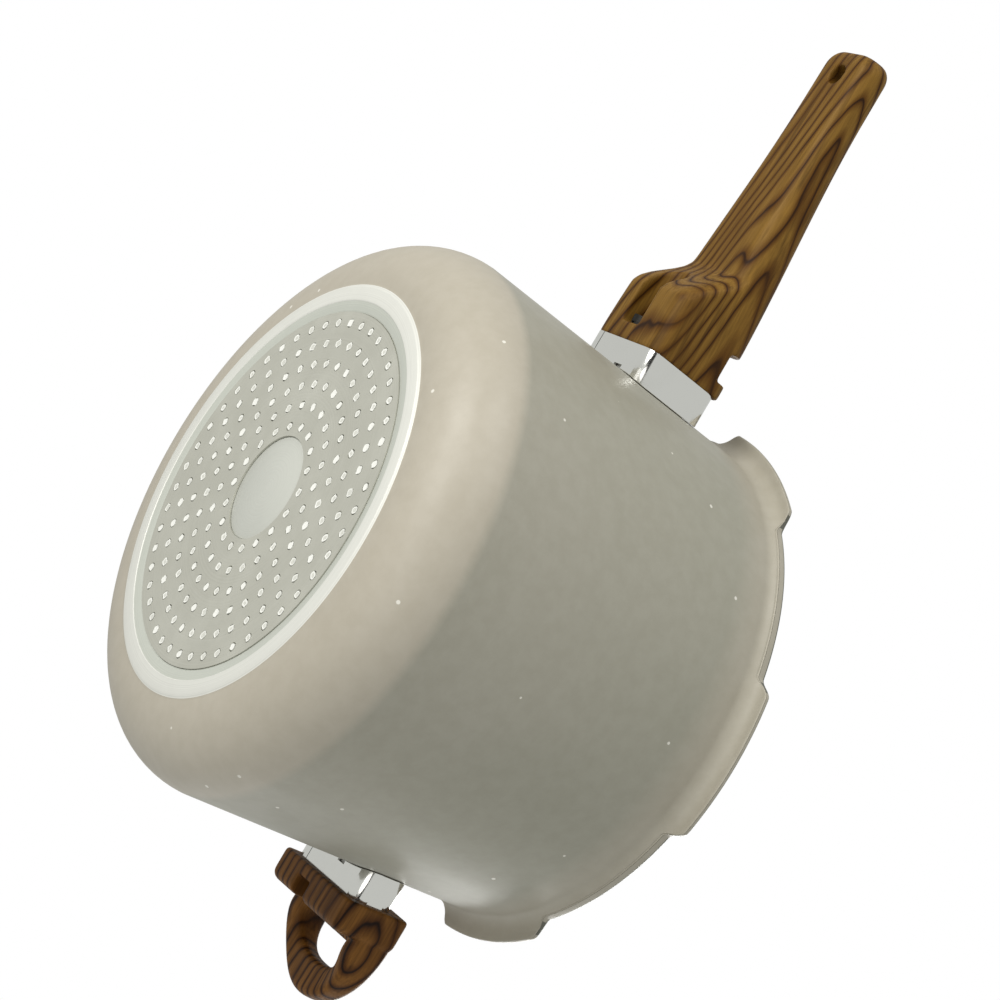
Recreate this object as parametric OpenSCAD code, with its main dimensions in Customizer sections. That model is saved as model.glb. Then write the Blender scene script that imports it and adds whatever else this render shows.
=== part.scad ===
// Saucepan with a bayonet rim, wood-look handles and a loose glass lid.
// +Z is up and the origin is the centre of the ring that the pan stands on.
// +X runs along the long handle, and the helper handle is on -X.

/* [Pan body] */
// Height from the table to the top of the rim
pan_h = 164; // [130:1:210]
// Widest radius, at the top of the base curve
pan_r = 111.7; // [98:0.1:140]
// Radius of the curve between the base and the wall
base_curve_r = 26.4; // [18:0.1:32]
// How far the wall leans inwards per millimetre of height
wall_lean = 0.0688; // [0.03:0.001:0.1]
// Thickness of the wall
wall_t = 2.8; // [2:0.1:3.4]
// Thickness of the base above the table
base_t = 5.5; // [4.5:0.1:8]
// Radius of the curve between the floor and the wall, inside
floor_curve_r = 21; // [12:0.5:24]

/* [Rim] */
// Thickness of the flange at its edge
flange_t = 2; // [1.5:0.1:4]
// Radius of the hollow curve under the flange
flange_curve_r = 6; // [3:0.5:8]
// How far the lugs stand out from the wall at the rim
lug_reach = 9; // [6:0.5:14]
// How far the notches between the lugs stay outside the wall
notch_reach = 2.4; // [1.5:0.1:4]
// Number of lugs round the rim
lug_n = 5; // [3:1:6]
// Half the angle of a notch at its floor
notch_half_deg = 18.5; // [10:0.5:20]
// How much wider each side of a notch is at the lug's edge
notch_flare_deg = 2; // [0:0.5:4]
// Angle of the first lug from the long handle
lug_start_deg = 19; // [0:1:60]
// Depth of the lid seat below the rim
seat_d = 3.5; // [2.5:0.1:5]
// Width of the lid seat's ledge
seat_w = 1.7; // [1.2:0.1:2]

/* [Base] */
// Outer radius of the bare ring
foot_r = 84.2; // [70:0.1:85]
// Width of the ring's flat that touches the table
foot_flat_w = 5.4; // [3:0.1:8]
// Radius of the pressed-in steel plate
plate_r = 72.7; // [60:0.1:73]
// Thickness of the steel plate
plate_t = 0.8; // [0.5:0.1:1.5]
// How far the plate's face lies above the table
plate_z = 0.5; // [0.3:0.1:1]
// Radius of the plain disc in the middle
disc_r = 20.9; // [10:0.1:22]
// Radius of a hole in the plate
hole_r = 1.85; // [1:0.05:2.2]
// Radius of the first ring of holes
hole_ring_r = 25; // [24:0.1:26]
// Distance from one ring of holes to the next
hole_pitch = 8.6; // [8:0.1:9]
// Number of rings of holes
hole_rings = 6; // [2:1:6]

/* [Long handle] */
// Length of the moulding beyond its collar
grip_l = 144; // [110:1:180]
// Width and height of the handle where it meets its collar
butt_w = 46; // [36:1:56]
butt_h = 36; // [32:1:42]
// Distance of the collar's middle below the rim
butt_drop = 46.7; // [40:0.1:60]
// Width of the grip near its free end
grip_w = 30.5; // [26:1:40]
// Thickness of the grip near its free end
grip_t = 15.2; // [13:0.2:22]
// How far the handle's top stands above the collar's top
crown_h = 2.6; // [2:0.2:6]
// Distance of the screw and its pocket from the handle's centre line
screw_y = -3.5; // [-6:0.5:6]
// Radius of the hanging hole
hang_r = 4.2; // [3:0.1:6]
// Distance of the hanging hole from the free end
hang_in = 11; // [9:0.5:20]
// Depth of the slot behind the nub
slot_d = 7; // [4.4:0.1:8]

/* [Helper handle] */
// Width and height of the collar
helper_w = 54; // [44:1:60]
helper_h = 19; // [17:0.5:26]
// Distance of the helper collar's middle below the rim
helper_drop = 48.6; // [30:0.1:60]
// Size of the cross bar: along the pan's radius, across it, and in height
bar_d = 14; // [12:0.5:20]
bar_w = 60.6; // [58:1:76]
bar_h = 29; // [26:0.5:36]
// How far the loop reaches beyond the bar, and its width
loop_d = 31; // [26:1:42]
loop_w = 58; // [48:1:60]
// Thickness of the loop at its free end
loop_t = 8.5; // [7:0.5:12]
// Width of the band round the finger gap at the sides, and at the end
band_side_w = 8; // [6:0.5:12]
band_end_w = 13.5; // [9:0.5:15]
// Distance of the screw and its pocket from the helper handle's centre line
helper_screw_y = -6; // [-8:0.5:8]

/* [Collars and screws] */
// Length of the long handle's collar
collar_l = 11; // [9:0.5:16]
// Length of the helper handle's collar
helper_collar_l = 9.2; // [8:0.2:14]
// Thickness of the collar's sheet
sheet_t = 1; // [0.6:0.1:1.5]
// Corner radius of the collars
collar_r = 6; // [2.5:0.1:8]
// Nominal radius of the handle and knob screws
screw_r = 2.5; // [2:0.25:3]
// Radius of a screw's head
screw_head_r = 4.6; // [4:0.1:5.5]
// Height of a screw's head
screw_head_h = 3; // [2:0.1:4]

/* [Glass lid] */
// Thickness of the glass
glass_t = 4; // [3:0.5:5]
// Rise of the dome from its edge to its middle
dome_h = 20; // [12:1:26]
// Radius of the vent's hole
vent_r = 3; // [2:0.25:4]
// Distance of the vent from the lid's centre
vent_at = 56; // [45:1:65]
// Largest radius of the knob
knob_r = 18.5; // [15:0.5:22]
// Height of the knob above its ring
knob_h = 22; // [19:0.5:28]

/* [Hidden] */
$fn = 96;
skin_fn = 8;          // facets in each corner of the long handle's sections
big = 400;            // longer than anything that it cuts
cross_size = [3.2, 1, 5];   // cross recess in a screw's head
fit = 0.15;           // clearance between pieces that are pressed or screwed together
edge_z = 0.8;         // height of the bare ring's outer edge
bevel_z = 0.9;        // height of the ring's inner bevel
pip_z = plate_z - 0.1;
disc_z = plate_z + 0.6;
crease_z = edge_z + base_curve_r;
foot_chamfer = 1.3;
foot_out = foot_r - foot_chamfer;
foot_in = foot_out - foot_flat_w;
lean_deg = atan(wall_lean);

// Radius of the wall's outside and inside at a height
function wall_x(z) = pan_r - wall_lean * (z - crease_z);
function wall_in(z) = wall_x(z) - wall_t;

flange_z = pan_h - flange_t;
hollow_z = flange_z - flange_curve_r;
hollow_x = wall_x(hollow_z) + flange_curve_r;
lug_r = wall_x(pan_h) + lug_reach;
notch_r = wall_x(pan_h) + notch_reach;
seat_z = pan_h - seat_d;
seat_r = wall_in(seat_z) + seat_w;

// The lid hangs on its band, which lies on the seat's ledge
band_t = 0.6;
band_r = seat_r - 0.4;
skirt_r = wall_in(seat_z) - 0.7;
skirt_d = 4;
glass_r = skirt_r - band_t - 0.1;
glass_z = seat_z + band_t + 0.05;
dome_r = (pow(glass_r, 2) + pow(dome_h, 2)) / (2 * dome_h);
crown_z = glass_z + dome_h + glass_t;

gasket_t = 1;
ring_h = 5;
ring_r = 14;
knob_z = crown_z + gasket_t + ring_h;
insert_r = 4.2;
insert_l = 11;
washer_t = 1;
under_gasket_r = 9;
under_r = dome_r - glass_t;
// The highest that a flat gasket of that radius reaches under the dome
glass_under = crown_z - dome_r + sqrt(pow(under_r, 2) - pow(under_gasket_r, 2)) - 0.02;
knob_head_z = glass_under - gasket_t - washer_t;
knob_screw_l = 17;
glass_hole_r = 4.5;

// Long handle
collar_gap = 0.3;
seam_w = 0.4;
drain_w = 5.5;
drain_d = 1.4;
spigot_l = 6.5;
spigot_clear = 0.25;
long_seat = collar_gap + collar_l - spigot_l;   // where each spigot meets its boss
helper_seat = collar_gap + helper_collar_l - spigot_l + 2;
butt_z = pan_h - butt_drop;
butt_x = wall_x(butt_z) + collar_gap + collar_l;
tail_x = butt_x + grip_l;
butt_bottom = butt_z - butt_h / 2;
butt_top = butt_z + butt_h / 2 + crown_h;
grip_top = butt_top - 1.5;
grip_bottom = grip_top - grip_t;
hump_start = 24;      // where the underside starts to rise, from the butt
hump_run = 21;
belly = 4.4;          // how much thicker the grip is near the hump
tail_curve = 7;
hang_x = tail_x - hang_in;
screw_z = butt_bottom + 6;
pocket_r = 6.2;
pocket_x = butt_x + 8.5;
boss_w = 24;
boss_up = 27;
boss_below = 4.4;     // how far the boss reaches below its screw
boss_corner = 3;
boss_skin = 1;        // what the tapped bore leaves of the boss at the pan's wall
screw_l = 18;
slot_x = butt_x + 5;
slot_w = 10;
slot_slope = 3;

// Helper handle
helper_z = pan_h - helper_drop;
helper_x = wall_x(helper_z) + collar_gap + helper_collar_l;
helper_boss_w = 26;
helper_boss_h = helper_h - 2 * sheet_t - 1;
helper_screw_z = helper_z - 3;
bar_top = helper_z + 16;
bar_under = bar_top - bar_h;
loop_drop = 2.8;      // how far the loop's top falls towards its free end
root_t = 15;          // thickness of the loop where it leaves the bar
bar_corner = 5;
gap_start = 3;        // distance of the finger gap from the bar
helper_pocket_r = 5.4;
pocket_floor = 6;     // thickness of the bar under the screw's head

// Five lugs leave five notches between them
function notch_deg(k) = lug_start_deg + (k + 0.5) * 360 / lug_n;
function polar(r, a) = [r * cos(a), r * sin(a)];
function clamp01(t) = max(0, min(1, t));
function ease(t) = let (u = clamp01(t)) u * u * (3 - 2 * u);
function mix(a, b, t) = a + (b - a) * t;

// Everything between two planes that lean as the wall does, x0 and x1 off it
module leaning_slab(x0, x1) {
    translate([wall_x(0), 0, 0]) rotate([0, -lean_deg, 0])
        translate([x0 * cos(lean_deg), -big / 2, -big / 2])
            cube([(x1 - x0) * cos(lean_deg), big, big]);
}

module rounded_rect(w, h, r) {
    square([w - 2 * r, h], center = true);
    square([w, h - 2 * r], center = true);
    for (i = [-1, 1], j = [-1, 1])
        translate([i * (w / 2 - r), j * (h / 2 - r)]) circle(r);
}

// A rounded bar along +X from x0 to x1, w wide and h high, centred on height z
module bar_x(x0, x1, w, h, r, z) {
    translate([x0, 0, z]) rotate([90, 0, 90])
        linear_extrude(x1 - x0) rounded_rect(w, h, r);
}

module cyl_x(x0, x1, r, z, y = 0) {
    translate([x0, y, z]) rotate([0, 90, 0]) cylinder(h = x1 - x0, r = r);
}

// The pan's outside as one solid of revolution, without its rim, and grown by a gap
module pan_cone(gap = 0) {
    rotate_extrude() polygon([[0, crease_z], [wall_x(crease_z) + gap, crease_z],
                              [wall_x(pan_h) + gap, pan_h], [0, pan_h]]);
}

module plate_holes(r) {
    for (i = [0:hole_rings - 1], j = [0:6 * (i + 3) - 1])
        translate(polar(hole_ring_r + i * hole_pitch, j * 60 / (i + 3)))
            circle(r);
}

module pan_outline() {
    curve_x = pan_r - base_curve_r;
    recess = plate_r + fit;
    polygon([[0, pip_z], [recess, pip_z], [recess, bevel_z], [foot_in, 0],
             [foot_out, 0], [foot_r, edge_z], [curve_x, edge_z],
             [curve_x, crease_z], [0, crease_z]]);
    intersection() {
        translate([curve_x, crease_z]) circle(base_curve_r);
        square([pan_r, crease_z]);
    }
    polygon([[0, crease_z], [wall_x(crease_z), crease_z],
             [wall_x(hollow_z), hollow_z], [0, hollow_z]]);
    difference() {
        translate([0, hollow_z]) square([lug_r, pan_h - hollow_z]);
        translate([hollow_x, hollow_z]) circle(flange_curve_r);
        translate([hollow_x, hollow_z]) square([lug_reach + big, flange_curve_r]);
    }
}

module pan_cavity() {
    curve_z = base_t + floor_curve_r;
    curve_x = wall_in(curve_z) - floor_curve_r;
    translate([0, base_t]) square([curve_x, floor_curve_r]);
    intersection() {
        translate([curve_x, curve_z]) circle(floor_curve_r);
        translate([0, base_t]) square([pan_r, floor_curve_r]);
    }
    polygon([[0, curve_z], [wall_in(curve_z), curve_z],
             [wall_in(pan_h + 1), pan_h + 1], [0, pan_h + 1]]);
    translate([0, seat_z]) square([seat_r, seat_d + 1]);
}

module rim_notch() {
    flare = notch_half_deg + notch_flare_deg;
    difference() {
        polygon([[0, 0], polar(notch_r, -notch_half_deg),
                 polar(lug_r + 2, -flare), polar(lug_r * 1.2, -flare),
                 polar(lug_r * 1.2, flare), polar(lug_r + 2, flare),
                 polar(notch_r, notch_half_deg)]);
        circle(notch_r);
    }
}

// Aluminium shell, with the pips that fill the steel plate's holes
module pot_body() {
    color([0.66, 0.64, 0.57]) difference() {
        rotate_extrude() difference() {
            pan_outline();
            pan_cavity();
        }
        translate([0, 0, -1]) linear_extrude(plate_z + plate_t + fit + 1) difference() {
            circle(plate_r + fit);
            circle(disc_r - fit);
            plate_holes(hole_r - fit / 2);
        }
        translate([0, 0, -1]) cylinder(h = disc_z + 1, r = disc_r);
        for (k = [0:lug_n - 1])
            rotate(notch_deg(k)) translate([0, 0, hollow_z - 1])
                linear_extrude(big) rim_notch();
    }
}

module induction_plate() {
    color([0.62, 0.62, 0.61]) translate([0, 0, plate_z]) linear_extrude(plate_t)
        difference() {
            circle(plate_r);
            circle(disc_r + fit);
            plate_holes(hole_r);
        }
}

// The long handle's section at a distance s from its butt
function grip_width(s) = mix(butt_w, grip_w, ease(s / (grip_l * 0.85)));
function grip_under(s) = mix(butt_bottom, grip_bottom - belly * (1 - s / grip_l),
                             ease((s - hump_start) / hump_run));
function grip_over(s) = mix(butt_top, grip_top, ease((s - 12) / (grip_l * 0.75)));
function tail_inset(s) = let (u = clamp01((s - grip_l + tail_curve) / tail_curve))
    tail_curve * (1 - sqrt(1 - u * u));
function grip_section(s) =
    let (d = tail_inset(s), w = grip_width(s) - 2 * d,
         z0 = grip_under(s) + d * 0.4, z1 = grip_over(s) - d * 0.4,
         r_max = min((z1 - z0) * 0.42, w * 0.42),
         r_under = min(mix(collar_r, 6.5, ease(s / 50)), r_max),
         r_over = min(6.5, r_max),
         rake = wall_lean * (1 - ease(s / 12)))
    [for (c = [0:3], k = [0:skin_fn])
        let (a = 90 * c + 90 * k / skin_fn, r = c < 2 ? r_over : r_under,
             y = (c == 0 || c == 3 ? 1 : -1) * (w / 2 - r) + r * cos(a),
             z = (c < 2 ? z1 - r : z0 + r) + r * sin(a))
        [butt_x + s - rake * (z - butt_z), y, z]];

// A closed skin over rings of points that all have the same count
module skin(rings) {
    n = len(rings[0]);
    last = len(rings) - 1;
    polyhedron(points = [for (r = rings, p = r) p],
        faces = concat(
            [[for (i = [0:n - 1]) i]],
            [for (k = [0:last - 1], i = [0:n - 1], half = [0, 1])
                let (j = (i + 1) % n, a = k * n, b = a + n)
                half == 0 ? [a + i, b + j, a + j] : [a + i, b + i, b + j]],
            [[for (i = [n - 1:-1:0]) last * n + i]]));
}

module long_handle() {
    straight_n = 30;
    straight_l = grip_l - tail_curve;
    color([0.44, 0.28, 0.13]) difference() {
        union() {
            skin(concat([for (i = [0:straight_n]) grip_section(straight_l * i / straight_n)],
                        [for (a = [15:15:90]) grip_section(straight_l + tail_curve * sin(a))]));
            intersection() {
                bar_x(wall_x(butt_z), butt_x + 5, butt_w - 2 * sheet_t - 2 * spigot_clear,
                      butt_h - 2 * sheet_t - 2 * spigot_clear, collar_r - sheet_t, butt_z);
                leaning_slab(long_seat, collar_gap + collar_l + 1);
            }
        }
        translate([hang_x, 0, 0]) cylinder(h = big, r = hang_r);
        cyl_x(pocket_x, butt_x + hump_start + 2 * hump_run, pocket_r, screw_z, screw_y);
        translate([pocket_x, screw_y - pocket_r, screw_z - big])
            cube([hump_start + hump_run, 2 * pocket_r, big]);
        cyl_x(pocket_x - big / 4, pocket_x + 1, screw_r + fit, screw_z, screw_y);
        translate([slot_x, big / 2, butt_top - slot_d]) rotate([90, 0, 0])
            linear_extrude(big) polygon([[0, 0], [slot_w, 0], [slot_w + slot_slope, slot_d],
                [slot_w + slot_slope, big], [-2, big], [-2, slot_d]]);
    }
}

// Sheet sleeve that follows the wall, with a butt seam under it and drain slots at the wall
module collar(w, h, z, l, seam_y) {
    difference() {
        intersection() {
            bar_x(wall_x(z) - 15, wall_x(z) + l + 15, w, h, collar_r, z);
            leaning_slab(-15, collar_gap + l);
        }
        pan_cone(collar_gap);
        bar_x(0, big, w - 2 * sheet_t, h - 2 * sheet_t, collar_r - sheet_t, z);
        translate([0, seam_y - seam_w / 2, z - h / 2 - 1])
            cube([big, seam_w, sheet_t + 2]);
        for (i = [-1, 1])
            translate([wall_x(z - h / 2) - 1, i * drain_w - drain_w / 2, z - h / 2 - 1])
                cube([collar_gap + drain_d + 1, drain_w, sheet_t + 2]);
    }
}

module long_handle_collar() {
    color([0.75, 0.76, 0.77]) collar(butt_w, butt_h, butt_z, collar_l, -butt_w * 0.33);
}

// Welded block that the handle's spigot seats on, tapped for the screw
module boss(w, h, r, z, x1, bore_z, bore_y = 0) {
    difference() {
        intersection() {
            bar_x(wall_x(z) - 15, wall_x(z) + x1 + 15, w, h, r, z);
            leaning_slab(-15, x1);
        }
        pan_cone();
        cyl_x(wall_x(bore_z) + boss_skin, big, screw_r + fit / 3, bore_z, bore_y);
    }
}

module long_handle_boss() {
    color([0.7, 0.7, 0.7])
        boss(boss_w, boss_up, boss_corner, screw_z + boss_up / 2 - boss_below,
             long_seat, screw_z, screw_y);
}

// Pan-head screw along -X: its head's seat is at x, its point at x - l
module screw_x(x, l, z) {
    difference() {
        union() {
            cyl_x(x - l, x + 0.5, screw_r, z);
            cyl_x(x, x + screw_head_h, screw_head_r, z);
        }
        for (a = [0, 90])
            translate([x + screw_head_h, 0, z]) rotate([a, 0, 0])
                cube(cross_size, center = true);
    }
}

// Split ring under the head: its gap is what springs
module spring_washer_x(x, t, z) {
    translate([x, 0, z]) rotate([0, 90, 0]) difference() {
        cylinder(h = t, r = screw_head_r - 0.2);
        translate([0, 0, -1]) cylinder(h = t + 2, r = screw_r + 0.2);
        translate([0, -0.5, -1]) cube([screw_head_r * 2, 1, t + 2]);
    }
}

module long_handle_screw() {
    color([0.72, 0.72, 0.73]) translate([0, screw_y, 0])
        screw_x(pocket_x + washer_t, screw_l, screw_z);
}

module long_handle_spring_washer() {
    color([0.6, 0.6, 0.6]) translate([0, screw_y, 0])
        spring_washer_x(pocket_x, washer_t, screw_z);
}

// The loop seen from above: an arch, or the arch of its finger gap
module arch(w, d, corner) {
    r = min(w / 2 - 0.1, d - 0.1, corner);
    square([0.1, w - 0.2], center = true);
    translate([0, -w / 2]) square([d - r, w]);
    translate([0, -w / 2 + r]) square([d, w - 2 * r]);
    for (i = [-1, 1]) translate([d - r, i * (w / 2 - r)]) circle(r);
}

// The helper handle from the side: a tall bar and a loop that thins outwards
module helper_side() {
    x1 = helper_x + bar_d;
    x2 = x1 + loop_d;
    polygon([[wall_x(bar_top), bar_top], [x2, bar_top - loop_drop],
             [x2, bar_top - loop_drop - loop_t],
             [mix(x1, x2, 0.6), bar_top - loop_drop - loop_t],
             [x1 + 2, bar_top - root_t], [x1, bar_top - root_t - 2],
             [x1, bar_under + 3], [x1 - 3, bar_under],
                 [wall_x(bar_under), bar_under]]);
}

module helper_handle() {
    bar_x1 = helper_x + bar_d;
    gap_w = loop_w - 2 * band_side_w;
    gap_d = loop_d - band_end_w - gap_start;
    color([0.40, 0.25, 0.12]) rotate(180) difference() {
        union() {
            intersection() {
                translate([0, bar_w / 2 + 1, 0]) rotate([90, 0, 0])
                    linear_extrude(bar_w + 2) helper_side();
                translate([0, 0, bar_under - 1]) linear_extrude(bar_h + 2) {
                    translate([helper_x + bar_d / 2 + 0.4, 0])
                        rounded_rect(bar_d - 0.8, bar_w, bar_corner);
                    translate([helper_x - 9, bar_corner - bar_w / 2])
                        square([bar_d, bar_w - 2 * bar_corner]);
                    translate([bar_x1 - bar_corner, 0])
                        arch(loop_w, loop_d + bar_corner, loop_w / 2);
                }
                leaning_slab(collar_gap + helper_collar_l, big);
            }
            intersection() {
                bar_x(wall_x(helper_z), helper_x + 5, helper_w - 2 * sheet_t - 2 * spigot_clear,
                      helper_h - 2 * sheet_t - 2 * spigot_clear, collar_r - sheet_t, helper_z);
                leaning_slab(helper_seat, collar_gap + helper_collar_l + 1);
            }
        }
        translate([bar_x1 + gap_start, 0, bar_under - 1]) linear_extrude(bar_h + 2)
            arch(gap_w, gap_d, gap_w * 0.42);
        translate([0, -helper_screw_y, 0]) {
            cyl_x(helper_x + pocket_floor, bar_x1 + gap_start + 2, helper_pocket_r,
                  helper_screw_z);
            translate([helper_x + pocket_floor, -helper_pocket_r, helper_screw_z - big])
                cube([bar_d + gap_start, 2 * helper_pocket_r, big]);
            cyl_x(0, helper_x + pocket_floor + 1, screw_r + fit, helper_screw_z);
        }
    }
}

module helper_handle_collar() {
    color([0.75, 0.76, 0.77]) rotate(180)
        collar(helper_w, helper_h, helper_z, helper_collar_l, helper_w * 0.33);
}

module helper_handle_boss() {
    color([0.7, 0.7, 0.7]) rotate(180)
        boss(helper_boss_w, helper_boss_h, boss_corner, helper_z,
             helper_seat, helper_screw_z, -helper_screw_y);
}

module helper_handle_screw() {
    color([0.72, 0.72, 0.73]) rotate(180)
        translate([0, -helper_screw_y, 0])
            screw_x(helper_x + pocket_floor + washer_t, screw_l - 3, helper_screw_z);
}

module helper_handle_spring_washer() {
    color([0.6, 0.6, 0.6]) rotate(180)
        translate([0, -helper_screw_y, 0])
            spring_washer_x(helper_x + pocket_floor, washer_t, helper_screw_z);
}

// Tempered dome with holes for the knob's screw and the vent
module lid_glass() {
    centre_z = crown_z - dome_r;
    color([0.78, 0.86, 0.84, 0.5]) difference() {
        rotate_extrude() difference() {
            intersection() {
                translate([0, centre_z]) circle(dome_r);
                translate([0, glass_z]) square([glass_r, dome_h + glass_t]);
            }
            translate([0, centre_z]) circle(dome_r - glass_t);
        }
        translate([0, 0, glass_z]) cylinder(h = big, r = glass_hole_r);
        translate([vent_at, 0, glass_z]) cylinder(h = big, r = vent_r + 0.8);
    }
}

// Height of the glass's top face at a radius
function glass_top(r) = crown_z - dome_r + sqrt(pow(dome_r, 2) - pow(r, 2));

// Rolled steel band: a ledge strip, a skirt inside the mouth and a lip over the glass
module lid_rim_band() {
    lip_z = glass_top(glass_r) + 0.1;
    lip_in = glass_r - 3.5;
    color([0.78, 0.79, 0.80]) rotate_extrude() {
        difference() {
            polygon([[lip_in, seat_z - skirt_d], [skirt_r, seat_z - skirt_d],
                     [skirt_r, seat_z], [band_r, seat_z], [band_r, lip_z - 0.4],
                     [band_r - 1, lip_z + band_t], [glass_r - 0.5, lip_z + band_t + 0.3],
                     [lip_in, glass_top(lip_in) + 0.1 + band_t]]);
            polygon([[lip_in - 1, seat_z - skirt_d - 1], [skirt_r - band_t, seat_z - skirt_d - 1],
                     [skirt_r - band_t, glass_z - band_t - 0.1],
                     [glass_r + 0.1, glass_z - 0.05],
                     [glass_r + 0.1, lip_z], [lip_in - 1, glass_top(lip_in - 1) + 0.1]]);
        }
    }
}

// Steel eyelet: a tube through the glass with a flange above and below
module lid_vent_eyelet() {
    tube_r = vent_r + 0.6;
    top = glass_top(vent_at - vent_r - 3) + 0.1;
    bottom = glass_top(vent_at + vent_r + 3) - glass_t - 0.3;
    color([0.78, 0.79, 0.80]) translate([vent_at, 0, 0]) difference() {
        union() {
            translate([0, 0, bottom - 0.6]) cylinder(h = top - bottom + 1.2, r = tube_r);
            translate([0, 0, top]) cylinder(h = 0.6, r = vent_r + 2.6);
            translate([0, 0, bottom - 0.6]) cylinder(h = 0.6, r = vent_r + 2.6);
        }
        translate([0, 0, bottom - 2]) cylinder(h = big, r = vent_r);
    }
}

module lid_knob() {
    waist_r = ring_r - 2.5;
    top_z = knob_z + knob_h;
    cap_r = 7;
    color([0.44, 0.28, 0.13]) difference() {
        rotate_extrude() difference() {
            union() {
                polygon([[0, knob_z], [ring_r - 0.8, knob_z], [knob_r, top_z - cap_r],
                         [knob_r - cap_r, top_z], [0, top_z]]);
                translate([knob_r - cap_r, top_z - cap_r]) circle(cap_r);
            }
            translate([waist_r + 9, knob_z + 5.5]) circle(7.2);
        }
        translate([0, 0, knob_z - 1]) cylinder(h = insert_l + 2, r = insert_r + 0.02);
    }
}

module lid_knob_insert() {
    color([0.78, 0.62, 0.30]) translate([0, 0, knob_z]) difference() {
        cylinder(h = insert_l, r = insert_r);
        translate([0, 0, -1]) cylinder(h = insert_l - 0.5, r = screw_r + fit / 3);
    }
}

// Polished ring between the glass and the knob
module lid_knob_ring() {
    color([0.78, 0.79, 0.80]) translate([0, 0, crown_z + gasket_t]) difference() {
        rotate_extrude() polygon([[0, 0], [ring_r + 2, 0], [ring_r + 2, 1.2],
                                  [ring_r, ring_h], [0, ring_h]]);
        translate([0, 0, -1]) cylinder(h = ring_h + 2, r = screw_r + 0.4);
        translate([0, 0, -1]) cylinder(h = ring_h, r = ring_r - 3);
    }
}

module gasket(z, r) {
    color([0.86, 0.86, 0.84]) translate([0, 0, z]) difference() {
        cylinder(h = gasket_t, r = r);
        translate([0, 0, -1]) cylinder(h = gasket_t + 2, r = screw_r + 0.4);
    }
}

module lid_knob_gasket() {
    gasket(crown_z, ring_r + 1);
}

module lid_under_gasket() {
    gasket(glass_under - gasket_t, under_gasket_r);
}

module lid_knob_washer() {
    color([0.6, 0.6, 0.6]) translate([0, 0, knob_head_z]) difference() {
        cylinder(h = washer_t, r = 8);
        translate([0, 0, -1]) cylinder(h = washer_t + 2, r = screw_r + 0.2);
    }
}

module lid_knob_screw() {
    color([0.72, 0.72, 0.73]) translate([0, 0, knob_head_z]) rotate([0, 90, 0])
        screw_x(0, knob_screw_l, 0);
}

pot_body();
induction_plate();
long_handle();
long_handle_collar();
long_handle_boss();
long_handle_screw();
long_handle_spring_washer();
helper_handle();
helper_handle_collar();
helper_handle_boss();
helper_handle_screw();
helper_handle_spring_washer();
lid_glass();
lid_rim_band();
lid_vent_eyelet();
lid_knob();
lid_knob_insert();
lid_knob_ring();
lid_knob_gasket();
lid_under_gasket();
lid_knob_washer();
lid_knob_screw();
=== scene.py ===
# %% [markdown]
# # A saucepan with a glass lid
#
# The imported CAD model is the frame: it says where each piece is and how big it is. This script gives
# the pan its looks. Pieces whose CAD shape is already right keep it and get a better finish. Pieces
# whose real edges are rolled, rounded or polished are modelled again here, in the same place, and
# stand for the CAD node. Everything is in metres, with +Z up and +X along the long handle.

# %% Load the frame
import math
import random

import bmesh
import bpy
from mathutils import Matrix, Vector


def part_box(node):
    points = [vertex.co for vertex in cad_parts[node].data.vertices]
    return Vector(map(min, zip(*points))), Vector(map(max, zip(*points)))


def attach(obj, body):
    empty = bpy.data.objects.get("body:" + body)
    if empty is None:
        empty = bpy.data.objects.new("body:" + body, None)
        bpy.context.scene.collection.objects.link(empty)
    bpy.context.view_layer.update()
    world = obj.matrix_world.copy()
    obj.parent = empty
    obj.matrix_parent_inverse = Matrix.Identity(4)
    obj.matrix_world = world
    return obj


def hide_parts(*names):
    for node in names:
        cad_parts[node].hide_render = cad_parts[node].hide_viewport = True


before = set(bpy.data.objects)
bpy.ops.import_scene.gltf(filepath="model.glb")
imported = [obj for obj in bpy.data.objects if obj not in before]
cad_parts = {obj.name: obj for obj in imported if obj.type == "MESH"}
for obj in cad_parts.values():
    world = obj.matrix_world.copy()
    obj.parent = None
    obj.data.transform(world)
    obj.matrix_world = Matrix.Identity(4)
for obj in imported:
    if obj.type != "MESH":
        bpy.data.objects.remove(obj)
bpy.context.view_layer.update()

# %% [markdown]
# ## Camera and studio
#
# The pan is seen from below and from its side, as if it were held up to show its base. A long lens
# keeps the rings of the base nearly elliptical. The floor is a plain pale sheet that is only seen
# from above, so it doesn't hide the base from a camera that is lower than the table.

# %% Camera
MM = 0.001
eye = Vector((0.00495, 0.93127, -0.4649))
looking = Vector((0.03301, -0.85926, 0.5105)).normalized()
upward = Vector((0.86003, -0.23578, -0.45249))

lens_data = bpy.data.cameras.new("camera")
lens_data.sensor_width = 36
lens_data.lens = 102.9
camera = bpy.data.objects.new("camera", lens_data)
bpy.context.scene.collection.objects.link(camera)
bpy.context.scene.camera = camera
rightward = looking.cross(upward).normalized()
turned = Matrix((rightward, rightward.cross(looking), -looking)).transposed()
camera.matrix_world = Matrix.Translation(eye) @ turned.to_4x4()
print("camera at", tuple(round(x, 3) for x in eye))


# %% Node helpers
def add(tree, kind, **settings):
    made = tree.nodes.new(kind)
    for key, value in settings.items():
        setattr(made, key, value)
    return made


def wire(tree, source, target):
    tree.links.new(source, target)


def math_node(tree, operation, a, b=0.0):
    made = add(tree, "ShaderNodeMath", operation=operation)
    for socket, value in zip(made.inputs, (a, b)):
        if hasattr(value, "links"):
            wire(tree, value, socket)
        else:
            socket.default_value = value
    return made.outputs[0]


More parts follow.
